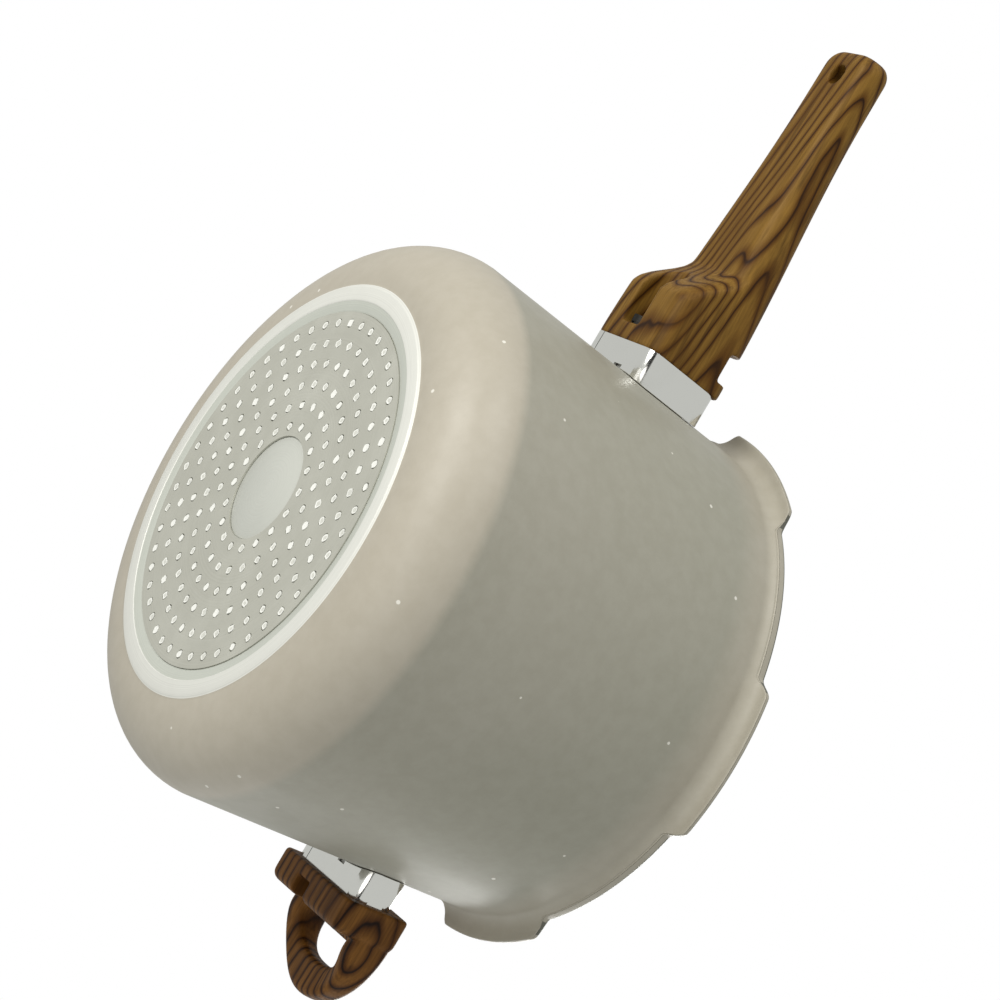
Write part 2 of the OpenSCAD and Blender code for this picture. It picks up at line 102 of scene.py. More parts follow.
def ramp(tree, source, stops):
    made = add(tree, "ShaderNodeValToRGB")
    band = made.color_ramp
    while len(band.elements) < len(stops):
        band.elements.new(0.5)
    for element, (place, colour) in zip(band.elements, stops):
        element.position = place
        element.color = (*colour, 1.0)
    wire(tree, source, made.inputs[0])
    return made.outputs[0]


def grey(level):
    return (level, level, level)


# %% [markdown]
# Large soft lights are what a product studio uses, because a satin coating shows a small lamp as a
# hard spot. Each light here is a disc that faces the pan. The two strongest are below, for the base
# and the wall, and above, for the upright views. The world fills the shadows, and only a camera ray
# sees it as plain white.


# %% World and lights
def make_world():
    world = bpy.data.worlds.new("studio")
    world.use_nodes = True
    tree = world.node_tree
    tree.nodes.clear()
    around = add(tree, "ShaderNodeBackground")
    around.inputs["Color"].default_value = (0.97, 0.98, 0.95, 1)
    around.inputs["Strength"].default_value = 0.63
    behind = add(tree, "ShaderNodeBackground")
    behind.inputs["Color"].default_value = (1, 1, 1, 1)
    behind.inputs["Strength"].default_value = 1.0
    path = add(tree, "ShaderNodeLightPath")
    both = add(tree, "ShaderNodeMixShader")
    wire(tree, path.outputs["Is Camera Ray"], both.inputs[0])
    wire(tree, around.outputs[0], both.inputs[1])
    wire(tree, behind.outputs[0], both.inputs[2])
    wire(tree, both.outputs[0], add(tree, "ShaderNodeOutputWorld").inputs[0])
    bpy.context.scene.world = world


def soft_light(name, place, target, size, power, colour=(1, 1, 1)):
    data = bpy.data.lights.new(name, "AREA")
    data.shape = "DISK"
    data.size = size
    data.energy = power
    data.color = colour
    light = bpy.data.objects.new(name, data)
    light.location = place
    light.rotation_mode = "QUATERNION"
    light.rotation_quaternion = (Vector(target) - Vector(place)).to_track_quat("-Z", "Y")
    light.visible_camera = False
    bpy.context.scene.collection.objects.link(light)


make_world()
bpy.context.scene.view_settings.view_transform = "Standard"
soft_light("base_light", (0.75, 0.25, -1.15), (0, 0, 0.03), 0.8, 12.5, (1.0, 0.985, 0.955))
soft_light("wall_light", (1.25, 0.75, -0.15), (0, 0, 0.08), 0.7, 5.5, (1.0, 0.985, 0.955))
soft_light("under_light", (-0.15, 0.85, -1.2), (0, 0, 0.1), 0.8, 3.2, (1.0, 0.985, 0.955))
soft_light("top_light", (-0.6, -0.7, 1.35), (0, 0, 0.1), 0.9, 16, (1.0, 0.99, 0.97))
soft_light("back_light", (-1.2, -0.5, 0.5), (0, 0, 0.1), 0.8, 1.5, (0.96, 0.98, 1.0))


# %% Floor
def make_floor():
    mesh = bpy.data.meshes.new("floor")
    bm = bmesh.new()
    bmesh.ops.create_circle(bm, cap_ends=True, segments=96, radius=6.0)
    bmesh.ops.translate(bm, verts=bm.verts, vec=(0, 0, -0.0003))
    bm.to_mesh(mesh)
    bm.free()
    floor = bpy.data.objects.new("floor", mesh)
    bpy.context.scene.collection.objects.link(floor)
    material = bpy.data.materials.new("pale_floor")
    material.use_nodes = True
    tree = material.node_tree
    shader = tree.nodes["Principled BSDF"]
    shader.inputs["Base Color"].default_value = (0.86, 0.86, 0.85, 1)
    shader.inputs["Roughness"].default_value = 0.7
    clear = add(tree, "ShaderNodeBsdfTransparent")
    side = add(tree, "ShaderNodeNewGeometry")
    both = add(tree, "ShaderNodeMixShader")
    wire(tree, side.outputs["Backfacing"], both.inputs[0])
    wire(tree, shader.outputs[0], both.inputs[1])
    wire(tree, clear.outputs[0], both.inputs[2])
    wire(tree, both.outputs[0], tree.nodes["Material Output"].inputs[0])
    mesh.materials.append(material)
    floor.visible_shadow = False
    floor.visible_diffuse = False
    floor.visible_glossy = False


make_floor()

# %% [markdown]
# ## Finishes
#
# Each finish is built from nodes on Object coordinates, so its grain keeps its real size on every
# piece. The satin coating is sprayed and baked: it has a faint orange peel, a slow drift of colour
# and a few pale specks. Its shoulder and rim are painted a lighter, warmer tone as painted light,
# and its wall a darker one as painted shade. The standing ring is turned bare, so its grooves run
# round the axis.


# %% Start a material
def new_finish(name, **sockets):
    material = bpy.data.materials.new(name)
    material.use_nodes = True
    tree = material.node_tree
    shader = tree.nodes["Principled BSDF"]
    for key, value in sockets.items():
        shader.inputs[key.replace("_", " ")].default_value = value
    return material, tree, shader


def object_coords(tree, scale=(1, 1, 1), shift=(0, 0, 0)):
    place = add(tree, "ShaderNodeMapping")
    place.inputs["Scale"].default_value = scale
    place.inputs["Location"].default_value = shift
    wire(tree, add(tree, "ShaderNodeTexCoord").outputs["Object"], place.inputs[0])
    return place.outputs[0]


def noise(tree, coords, scale, detail=2.0, rough=0.5, distortion=0.0):
    made = add(tree, "ShaderNodeTexNoise")
    wire(tree, coords, made.inputs["Vector"])
    made.inputs["Scale"].default_value = scale
    made.inputs["Detail"].default_value = detail
    made.inputs["Roughness"].default_value = rough
    made.inputs["Distortion"].default_value = distortion
    return made


def bump(tree, shader, height, strength, distance):
    made = add(tree, "ShaderNodeBump")
    made.inputs["Strength"].default_value = strength
    made.inputs["Distance"].default_value = distance
    wire(tree, height, made.inputs["Height"])
    wire(tree, made.outputs[0], shader.inputs["Normal"])


def mix(tree, fac, a, b):
    made = add(tree, "ShaderNodeMix", data_type="RGBA")
    for socket, value in ((made.inputs[0], fac), (made.inputs[6], a), (made.inputs[7], b)):
        if hasattr(value, "links"):
            wire(tree, value, socket)
        elif isinstance(value, tuple):
            socket.default_value = (*value, 1.0)
        else:
            socket.default_value = value
    return made.outputs[2]


# %% Distance from the pan's axis, for turned and spun metal
def axis_distance(tree):
    flat = add(tree, "ShaderNodeVectorMath", operation="MULTIPLY")
    wire(tree, object_coords(tree), flat.inputs[0])
    flat.inputs[1].default_value = (1, 1, 0)
    length = add(tree, "ShaderNodeVectorMath", operation="LENGTH")
    wire(tree, flat.outputs[0], length.inputs[0])
    return length.outputs["Value"]


def ring_noise(tree, per_metre, detail=3.0):
    stretched = add(tree, "ShaderNodeCombineXYZ")
    wire(tree, math_node(tree, "MULTIPLY", axis_distance(tree), per_metre), stretched.inputs[0])
    return noise(tree, stretched.outputs[0], 1.0, detail).outputs[0]


# %% Satin coating
def coating_finish():
    material, tree, shader = new_finish(
        "satin_coating", Roughness=0.42, Specular_IOR_Level=0.4)
    coords = object_coords(tree)
    drift = noise(tree, coords, 9, 2).outputs[0]
    # Painted light and shade: the shoulder below the crease and most of the rim get a lighter, warmer
    # copy of the coating colour, and the wall between them gets a darker copy.
    wall = ramp(tree, drift, [(0.3, (0.298, 0.290, 0.232)), (0.7, (0.326, 0.312, 0.256))])
    shoulder_lit_tone = ramp(tree, drift, [(0.3, (0.386, 0.352, 0.284)), (0.7, (0.414, 0.378, 0.308))])
    parts = add(tree, "ShaderNodeSeparateXYZ")
    wire(tree, coords, parts.inputs[0])
    height = math_node(tree, "MULTIPLY", parts.outputs["Z"], 5.0)
    base = mix(tree, ramp(tree, height, [(0.118, grey(0.0)), (0.140, grey(0.9)), (0.70, grey(1.0)),
                                         (0.76, grey(0.35))]), shoulder_lit_tone, wall)
    mottle = noise(tree, coords, 160, 3, 0.6).outputs[0]
    base = mix(tree, 0.05, base, ramp(tree, mottle, [(0.35, grey(0.15)), (0.65, grey(0.55))]))
    cells = add(tree, "ShaderNodeTexVoronoi")
    wire(tree, coords, cells.inputs["Vector"])
    cells.inputs["Scale"].default_value = 75
    near = math_node(tree, "LESS_THAN", cells.outputs["Distance"], 0.055)
    parted = add(tree, "ShaderNodeSeparateColor")
    wire(tree, cells.outputs["Color"], parted.inputs[0])
    rare = ramp(tree, height, [(0.118, grey(0.10)), (0.140, grey(0.45))])
    few = math_node(tree, "GREATER_THAN", parted.outputs[0], rare)
    speck = math_node(tree, "MULTIPLY", near, few)
    base = mix(tree, speck, base, (0.66, 0.64, 0.58))
    wire(tree, base, shader.inputs["Base Color"])
    rub = noise(tree, object_coords(tree, (1, 1, 0.35)), 42, 4, 0.6).outputs[0]
    wire(tree, ramp(tree, rub, [(0.3, grey(0.37)), (0.7, grey(0.50))]),
         shader.inputs["Roughness"])
    peel = noise(tree, coords, 850, 2, 0.4).outputs[0]
    bump(tree, shader, peel, 0.12, 0.00012)
    return material


# %% [markdown]
# Bare metal on a pan is rarely a mirror. The ring it stands on is turned on a lathe, so its marks
# are circles round the axis, and so are those of the plate, which is polished on a spindle. Noise
# that reads only the distance from the axis gives such circles at any size. A cloudy noise over it
# stands for smudges, and it moves the roughness as well as the colour.


# %% Turned aluminium of the standing ring, the disc and the pips
def turned_finish(name, colour, metal, rough, groove):
    material, tree, shader = new_finish(name, Metallic=metal)
    rings = ring_noise(tree, 2600)
    cloud = noise(tree, object_coords(tree), 55, 4, 0.6).outputs[0]
    darker = tuple(c * 0.90 for c in colour)
    lighter = tuple(min(1.0, c * 1.04) for c in colour)
    tint = ramp(tree, rings, [(0.3, darker), (0.7, lighter)])
    smudged = mix(tree, ramp(tree, cloud, [(0.45, grey(0.0)), (0.8, grey(0.3))]), tint,
                  tuple(c * 0.82 for c in colour))
    wire(tree, smudged, shader.inputs["Base Color"])
    wire(tree, ramp(tree, cloud, [(0.2, grey(rough - 0.06)), (0.8, grey(rough + 0.08))]),
         shader.inputs["Roughness"])
    bump(tree, shader, rings, groove, 0.00006)
    return material


# %% Steel of the base plate
def plate_finish():
    material, tree, shader = new_finish("base_plate_steel", Metallic=0.35)
    rings = ring_noise(tree, 1500, 4)
    cloud = noise(tree, object_coords(tree), 38, 5, 0.62).outputs[0]
    tint = ramp(tree, rings, [(0.3, (0.438, 0.436, 0.378)), (0.7, (0.492, 0.490, 0.430))])
    worn = mix(tree, ramp(tree, cloud, [(0.42, grey(0.0)), (0.72, grey(0.5))]), tint,
               (0.57, 0.57, 0.51))
    wire(tree, worn, shader.inputs["Base Color"])
    wire(tree, ramp(tree, cloud, [(0.3, grey(0.36)), (0.7, grey(0.52))]),
         shader.inputs["Roughness"])
    bump(tree, shader, rings, 0.25, 0.00005)
    return material


# %% [markdown]
# The collars are sheet that is polished and plated, so they show what stands round them. Smears are
# what makes such metal look real: patches that are a little rougher and darker. The screws and the
# welded blocks are duller, with an even grain. The gaskets are silicone with a faint sheen, and the
# lid is glass with a slow ripple and light wear.


# %% Polished metal of the collars and of the lid's fittings
def polished_finish(name, colour, rough):
    material, tree, shader = new_finish(name, Metallic=1.0)
    coords = object_coords(tree)
    smear = noise(tree, coords, 60, 5, 0.65, 0.6).outputs[0]
    wire(tree, mix(tree, ramp(tree, smear, [(0.5, grey(0.0)), (0.75, grey(0.35))]), colour,
                   tuple(c * 0.93 for c in colour)), shader.inputs["Base Color"])
    wire(tree, ramp(tree, smear, [(0.35, grey(rough)), (0.75, grey(rough + 0.12))]),
         shader.inputs["Roughness"])
    hairlines = noise(tree, object_coords(tree, (12, 900, 900)), 1.0, 2).outputs[0]
    bump(tree, shader, hairlines, 0.02, 0.00004)
    return material


# %% Plain metals, rubber and glass
def plain_metal_finish(name, colour, rough, grain):
    material, tree, shader = new_finish(name, Metallic=1.0)
    cloud = noise(tree, object_coords(tree), grain, 4, 0.6).outputs[0]
    wire(tree, ramp(tree, cloud, [(0.3, tuple(c * 0.82 for c in colour)), (0.7, colour)]),
         shader.inputs["Base Color"])
    wire(tree, ramp(tree, cloud, [(0.3, grey(rough + 0.1)), (0.7, grey(rough))]),
         shader.inputs["Roughness"])
    bump(tree, shader, cloud, 0.15, 0.00008)
    return material


def silicone_finish():
    material, tree, shader = new_finish("silicone", Sheen_Weight=0.25)
    cloud = noise(tree, object_coords(tree), 300, 3).outputs[0]
    wire(tree, ramp(tree, cloud, [(0.3, (0.62, 0.62, 0.58)), (0.7, (0.72, 0.72, 0.69))]),
         shader.inputs["Base Color"])
    wire(tree, ramp(tree, cloud, [(0.3, grey(0.42)), (0.7, grey(0.56))]),
         shader.inputs["Roughness"])
    bump(tree, shader, cloud, 0.1, 0.0001)
    return material


def glass_finish():
    material, tree, shader = new_finish("tempered_glass", Transmission_Weight=1.0, IOR=1.47)
    coords = object_coords(tree)
    wear = noise(tree, coords, 26, 5, 0.65).outputs[0]
    wire(tree, ramp(tree, wear, [(0.3, (0.90, 0.97, 0.945)), (0.7, (0.93, 0.985, 0.965))]),
         shader.inputs["Base Color"])
    wire(tree, ramp(tree, wear, [(0.45, grey(0.015)), (0.8, grey(0.07))]),
         shader.inputs["Roughness"])
    ripple = noise(tree, coords, 14, 2).outputs[0]
    bump(tree, shader, ripple, 0.05, 0.0006)
    return material


# %% [markdown]
# The handles are a dark thermoset moulding under a printed wood figure. Real figure is a cut through
# growth rings, so it is built the same way: rings are cones round a heart line, bent by slow noise.
# The fractional part of the ring count gives one band from line to line, pale where the ring starts
# and dark where it ends. Near the heart line the cut shows nested arches, and far from it parallel
# lines. Streaks and fine fibres run along the handle over it.


# %% Printed wood figure
def wood_finish(name, tones, heart, spacing, knots):
    dark, brown, tan = tones
    material, tree, shader = new_finish(name, Specular_IOR_Level=0.14)
    from_heart = add(tree, "ShaderNodeVectorMath", operation="SUBTRACT")
    wire(tree, object_coords(tree), from_heart.inputs[0])
    from_heart.inputs[1].default_value = heart
    across = add(tree, "ShaderNodeVectorMath", operation="MULTIPLY")
    wire(tree, from_heart.outputs[0], across.inputs[0])
    across.inputs[1].default_value = spacing
    radius = add(tree, "ShaderNodeVectorMath", operation="LENGTH")
    wire(tree, across.outputs[0], radius.inputs[0])
    taper = add(tree, "ShaderNodeVectorMath", operation="DOT_PRODUCT")
    wire(tree, object_coords(tree), taper.inputs[0])
    taper.inputs[1].default_value = knots
    slow = noise(tree, object_coords(tree, (11, 34, 34), heart), 1.0, 1.0, 0.4).outputs[0]
    quick = noise(tree, object_coords(tree, (26, 95, 95), heart), 1.0, 2.0, 0.5).outputs[0]
    bend = math_node(tree, "ADD", math_node(tree, "MULTIPLY", slow, 3.6),
                     math_node(tree, "MULTIPLY", quick, 0.55))
    rings = math_node(tree, "ADD", radius.outputs["Value"], taper.outputs["Value"])
    ring = math_node(tree, "FRACT", math_node(tree, "ADD", rings, bend))
    figure = ramp(tree, ring, [(0.0, dark), (0.05, brown), (0.30, tan), (0.66, tan),
                               (0.88, brown), (0.965, dark)])
    shade = noise(tree, object_coords(tree, (14, 60, 60), heart), 1.0, 2.0, 0.5).outputs[0]
    figure = mix(tree, ramp(tree, shade, [(0.45, grey(0.0)), (0.72, grey(0.6))]), figure, brown)
    streak = noise(tree, object_coords(tree, (12, 330, 330), heart), 1.0, 3, 0.6).outputs[0]
    figure = mix(tree, ramp(tree, streak, [(0.55, grey(0.0)), (0.72, grey(0.6))]), figure, dark)
    fibre = noise(tree, object_coords(tree, (40, 1100, 1100)), 1.0, 3, 0.6).outputs[0]
    figure = mix(tree, ramp(tree, fibre, [(0.35, grey(0.0)), (0.7, grey(0.35))]), figure, dark)
    wire(tree, figure, shader.inputs["Base Color"])
    wire(tree, ramp(tree, fibre, [(0.3, grey(0.46)), (0.7, grey(0.62))]),
         shader.inputs["Roughness"])
    bump(tree, shader, fibre, 0.08, 0.00006)
    return material


# %% All finishes
coating = coating_finish()
ring_metal = turned_finish("turned_ring", (0.76, 0.76, 0.71), 0.35, 0.46, 0.35)
disc_metal = turned_finish("pressed_disc", (0.60, 0.61, 0.56), 0.35, 0.5, 0.2)
pip_metal = turned_finish("pressed_pips", (0.93, 0.93, 0.88), 0.25, 0.42, 0.1)
groove_metal = turned_finish("turned_groove", (0.58, 0.60, 0.54), 0.35, 0.45, 0.5)
# Painted reflection: the rim's bare turned edge is real, but its near-black colour stands in for the
# dark surroundings it reflects.
rim_edge_painted_dark = turned_finish("rim_edge_bare_painted_dark", (0.15, 0.15, 0.125), 0.5, 0.45, 0.3)
pip_middle = turned_finish("pressed_pip_middle", (0.70, 0.70, 0.64), 0.3, 0.5, 0.1)
plate_steel = plate_finish()
chrome = polished_finish("polished_chrome", (0.83, 0.83, 0.80), 0.10)
stainless = polished_finish("polished_stainless", (0.74, 0.74, 0.73), 0.16)
zinc = plain_metal_finish("zinc_plate", (0.64, 0.65, 0.66), 0.36, 240)
# Painted shade: this near-black steel stands in for the shade deep in the handles' screw pockets.
pocket_shade_steel = plain_metal_finish("steel_darkened_as_pocket_shade", (0.035, 0.033, 0.030), 0.45, 240)
cast_metal = plain_metal_finish("cast_boss", (0.62, 0.62, 0.60), 0.5, 420)
brass = plain_metal_finish("turned_brass", (0.72, 0.52, 0.22), 0.3, 200)
silicone = silicone_finish()
glass = glass_finish()
long_tones = ((0.024, 0.008, 0.001), (0.098, 0.040, 0.004), (0.205, 0.108, 0.018))
helper_tones = ((0.010, 0.003, 0.001), (0.075, 0.026, 0.004), (0.190, 0.080, 0.015))
long_wood = wood_finish("wood_figure_long", long_tones, (0.25, 0.013, 0.1275),
                        (0, 250, 250), (40, 0, 0))
helper_wood = wood_finish("wood_figure_helper", helper_tones, (-0.14, 0.034, 0.118),
                          (55, 190, 150), (0, 0, 35))
print("finishes", len(bpy.data.materials))

# %% [markdown]
# ## Making pieces
#
# Round pieces are spun from a profile, a bmesh operator that turns a few points round the axis as a
# lathe does. Moulded pieces are built from sections and cut with simple solids, and a voxel remesh
# then welds them into one skin whose edges a few smoothing passes round off, like a worn mould.


# %% From bmesh to a finished piece
def finish_mesh(name, bm, materials, sharp_deg=35):
    mesh = bpy.data.meshes.new(name)
    bm.to_mesh(mesh)
    bm.free()
    for material in materials:
        mesh.materials.append(material)
    mesh.shade_smooth()
    mesh.set_sharp_from_angle(angle=math.radians(sharp_deg))
    piece = bpy.data.objects.new(name, mesh)
    bpy.context.scene.collection.objects.link(piece)
    return piece


def place_piece(piece, body, slot, *nodes):
    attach(piece, body)
    if nodes:
        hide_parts(*nodes)
    print(piece.name, len(piece.data.polygons), "faces")


def bake_modifiers(piece):
    graph = bpy.context.evaluated_depsgraph_get()
    done = bpy.data.meshes.new_from_object(piece.evaluated_get(graph))
    old = piece.data
    piece.modifiers.clear()
    piece.data = done
    bpy.data.meshes.remove(old)


# %% Profiles and spinning
def arc(x, z, radius, start, end, count):
    turn = [math.radians(start + (end - start) * k / count) for k in range(count + 1)]
    return [(x + radius * math.cos(a), z + radius * math.sin(a)) for a in turn]


def spin_profile(points, steps, centre=(0, 0), closed=False):
    bm = bmesh.new()
    verts = [bm.verts.new((x + centre[0], centre[1], z)) for x, z in points]
    pairs = list(zip(verts, verts[1:]))
    if closed:
        pairs.append((verts[-1], verts[0]))
    for a, b in pairs:
        bm.edges.new((a, b))
    bmesh.ops.spin(bm, geom=list(bm.verts) + list(bm.edges), cent=(*centre, 0), axis=(0, 0, 1),
                   angle=math.tau, steps=steps, use_merge=True)
    bmesh.ops.remove_doubles(bm, verts=bm.verts, dist=1e-7)
    bmesh.ops.recalc_face_normals(bm, faces=bm.faces)
    return bm


# %% Soft edges
def soften_edges(bm, edges, width, segments):
    bmesh.ops.bevel(bm, geom=edges, offset=width, affect="EDGES", segments=segments, profile=0.5,
                    material=-1)


def join_into(bm, other):
    carried = bpy.data.meshes.new("carried")
    other.to_mesh(carried)
    other.free()
    bm.from_mesh(carried)
    bpy.data.meshes.remove(carried)


# %% Cutters
def box_cutter(low, high):
    bm = bmesh.new()
    low, high = Vector(low), Vector(high)
    bmesh.ops.create_cube(bm, size=1)
    bmesh.ops.scale(bm, vec=high - low, verts=bm.verts)
    bmesh.ops.translate(bm, vec=(low + high) / 2, verts=bm.verts)
    return finish_mesh("cutter", bm, [])


def rod_cutter(centre, length, radius, axis):
    bm = bmesh.new()
    turn = Matrix.Rotation(math.pi / 2, 4, "Y") if axis == "X" else Matrix.Identity(4)
    bmesh.ops.create_cone(bm, cap_ends=True, segments=64, radius1=radius, radius2=radius,
                          depth=length, matrix=Matrix.Translation(centre) @ turn)
    return finish_mesh("cutter", bm, [])


def carve(piece, cutters):
    for cutter in cutters:
        cut = piece.modifiers.new("cut", "BOOLEAN")
        cut.operation = "DIFFERENCE"
        cut.solver = "EXACT"
        cut.object = cutter
    bake_modifiers(piece)
    for cutter in cutters:
        bpy.data.objects.remove(cutter)


def mould(piece, voxel, passes):
    skin = piece.modifiers.new("skin", "REMESH")
    skin.mode = "VOXEL"
    skin.voxel_size = voxel
    soften = piece.modifiers.new("soften", "SMOOTH")
    soften.factor = 0.5
    soften.iterations = passes
    bake_modifiers(piece)
    piece.data.shade_smooth()


# %% [markdown]
# ## The shell
#
# The body is one pressing of aluminium: floor, wall and rim in one skin, thicker at the base. One
# profile runs from the middle of the floor, up the inside, over the rim, down the wall and under
# the base. Spinning it gives the whole shell. The rim's lugs are made last, by drawing the flange's
# points in to a radius that depends on their angle, with soft flanks as on a trimmed pressing.

# %% Sizes of the shell
pan_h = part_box("pot_body")[1].z
pan_r = 111.7 * MM
wall_lean = 0.0688
wall_t = 2.8 * MM
base_curve_r = 26.4 * MM
edge_z = 0.8 * MM
crease_z = edge_z + base_curve_r
floor_z = 5.5 * MM
floor_curve_r = 21 * MM
foot_r = 84.2 * MM
foot_out = foot_r - 1.3 * MM
foot_in = foot_out - 5.4 * MM
recess_r = 72.85 * MM
recess_z = 1.45 * MM
disc_r = 20.75 * MM
disc_z = 1.1 * MM


def wall_x(z):
    return pan_r - wall_lean * (z - crease_z)


flange_z = pan_h - 2 * MM
hollow_r = 6 * MM
hollow_z = flange_z - hollow_r
hollow_x = wall_x(hollow_z) + hollow_r
lug_r = wall_x(pan_h) + 9 * MM
notch_r = wall_x(pan_h) + 2.4 * MM
seat_z = pan_h - 3.5 * MM
seat_r = wall_x(seat_z) - wall_t + 1.7 * MM
lug_count = 5
lug_start_deg = 19
notch_half_deg = 21.4
flank_deg = 4.2
print("mouth", round(2000 * (seat_r - 1.7 * MM)), "mm, lugs", round(2000 * lug_r), "mm across")


# %% Profile of the shell
top_edge = 0.9 * MM
low_edge = 0.5 * MM
bare_band = 1.7 * MM


def shell_profile():
    curve_z = floor_z + floor_curve_r
    curve_x = wall_x(curve_z) - wall_t - floor_curve_r
    inside = [(0, floor_z), (curve_x * 0.5, floor_z), (curve_x - 2 * MM, floor_z)]
    inside += arc(curve_x, curve_z, floor_curve_r, -90, 0, 12)
    inside += [(wall_x(z) - wall_t, z) for z in (curve_z + 2 * MM, 0.09, seat_z - MM, seat_z)]
    lip = [(seat_r, seat_z), (seat_r, seat_z + MM)]
    lip += arc(seat_r + 0.4 * MM, pan_h - 0.4 * MM, 0.4 * MM, 180, 90, 3)
    top = [(seat_r + k * MM, pan_h) for k in (0.8, 1.8, 2.3, 4, 6, 8)]
    edge = arc(lug_r - top_edge, pan_h - top_edge, top_edge, 90, 0, 4)
    edge += [(lug_r, pan_h - bare_band)]
    edge += arc(lug_r - low_edge, flange_z + low_edge, low_edge, 0, -90, 3)
    under = [(hollow_x + 0.8 * MM, flange_z)] + arc(hollow_x, hollow_z, hollow_r, 90, 180, 10)
    wall = [(wall_x(z), z) for z in (hollow_z - MM, 0.12, 0.08, 0.05, crease_z + MM)]
    base = arc(pan_r - base_curve_r, crease_z, base_curve_r, 0, -90, 20)
    ring = [(foot_r + 0.3 * MM, edge_z), (foot_r, edge_z - 0.1 * MM),
            (foot_out + 0.2 * MM, 0.08 * MM), (foot_out, 0), (foot_in, 0),
            (foot_in - 0.3 * MM, 0.25 * MM),
            (foot_in - 0.7 * MM, 0.28 * MM), (recess_r + 0.4 * MM, 0.75 * MM),
            (recess_r, 0.95 * MM)]
    recess = [(recess_r, recess_z), (disc_r, recess_z), (disc_r, disc_z + 0.15 * MM),
              (disc_r - 0.25 * MM, disc_z), (0, disc_z)]
    return inside + lip + top + edge + under + wall + base + ring + recess


print("shell profile", len(shell_profile()), "points")


# %% Lugs and notches
def rim_radius(angle_deg):
    pitch = 360 / lug_count
    off_lug = abs((angle_deg - lug_start_deg + pitch / 2) % pitch - pitch / 2)
    flank = min(1, max(0, (off_lug - (pitch / 2 - notch_half_deg)) / flank_deg))
    return lug_r + (notch_r - lug_r) * flank * flank * (3 - 2 * flank)


def under_flange(r):
    if r >= hollow_x:
        return flange_z
    return hollow_z + math.sqrt(max(0.0, hollow_r ** 2 - (hollow_x - r) ** 2))


def trim_rim(vert):
    r = math.hypot(vert.co.x, vert.co.y)
    tiny = 1e-6
    if vert.co.z < hollow_z + tiny or r < seat_r + 0.6 * MM:
        return
    limit = rim_radius(math.degrees(math.atan2(vert.co.y, vert.co.x)))
    inset = lug_r - r
    z = vert.co.z
    if z > pan_h - top_edge - tiny:
        new_r = limit - inset if inset < top_edge + tiny else min(r, limit - top_edge)
    elif inset < low_edge + tiny and z < flange_z + low_edge + tiny:
        new_r = limit - inset
        z += under_flange(limit) - flange_z
    elif inset < tiny:
        new_r = limit
    else:
        new_r = min(r, limit - low_edge)
        if new_r < r:
            z = under_flange(new_r)
    vert.co = (vert.co.x * new_r / r, vert.co.y * new_r / r, z)


# %% The finished shell
def face_finish(face):
    middle = face.calc_center_median()
    r = math.hypot(middle.x, middle.y)
    if middle.z < 1.6 * MM and r < recess_r - 0.1 * MM:
        return 2
    if recess_r < r < foot_in - 0.2 * MM and middle.z < edge_z + 0.2 * MM:
        return 4
    if middle.z < edge_z - 0.01 * MM and r < foot_r + 0.1 * MM:
        return 1
    notched = rim_radius(math.degrees(math.atan2(middle.y, middle.x))) < lug_r - MM
    # The rim's outer edge takes the bare edge finish, which is painted near black as a painted
    # reflection; in the notches this band is wider.
    if r > seat_r + 0.2 * MM and middle.z > pan_h - (bare_band if notched else 0.5 * MM):
        return 3
    return 0


def make_shell():
    bm = spin_profile(shell_profile(), 900)
    for vert in bm.verts:
        trim_rim(vert)
    bmesh.ops.remove_doubles(bm, verts=bm.verts, dist=1e-6)
    for face in bm.faces:
        face.material_index = face_finish(face)
    piece = finish_mesh("pan_shell", bm,
                        [coating, ring_metal, disc_metal, rim_edge_painted_dark, groove_metal], 38)
    place_piece(piece, "pot", "coated_aluminium", "pot_body")


make_shell()

# %% [markdown]
# ## The base
#
# A thin steel plate lets an aluminium pan work on induction. It is punched with rings of holes, laid
# in the base and pressed: the soft aluminium flows through each hole and spreads a little on the
# plate's face, like a rivet. No two of these pips are quite the same, so each gets its own turn,
# size and rim from a seeded random draw.

# %% Plate and pips
plate_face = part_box("induction_plate")[0].z
ring_count = 6
first_ring_r = 25 * MM
ring_pitch = 8.6 * MM
pip_r = 1.8 * MM


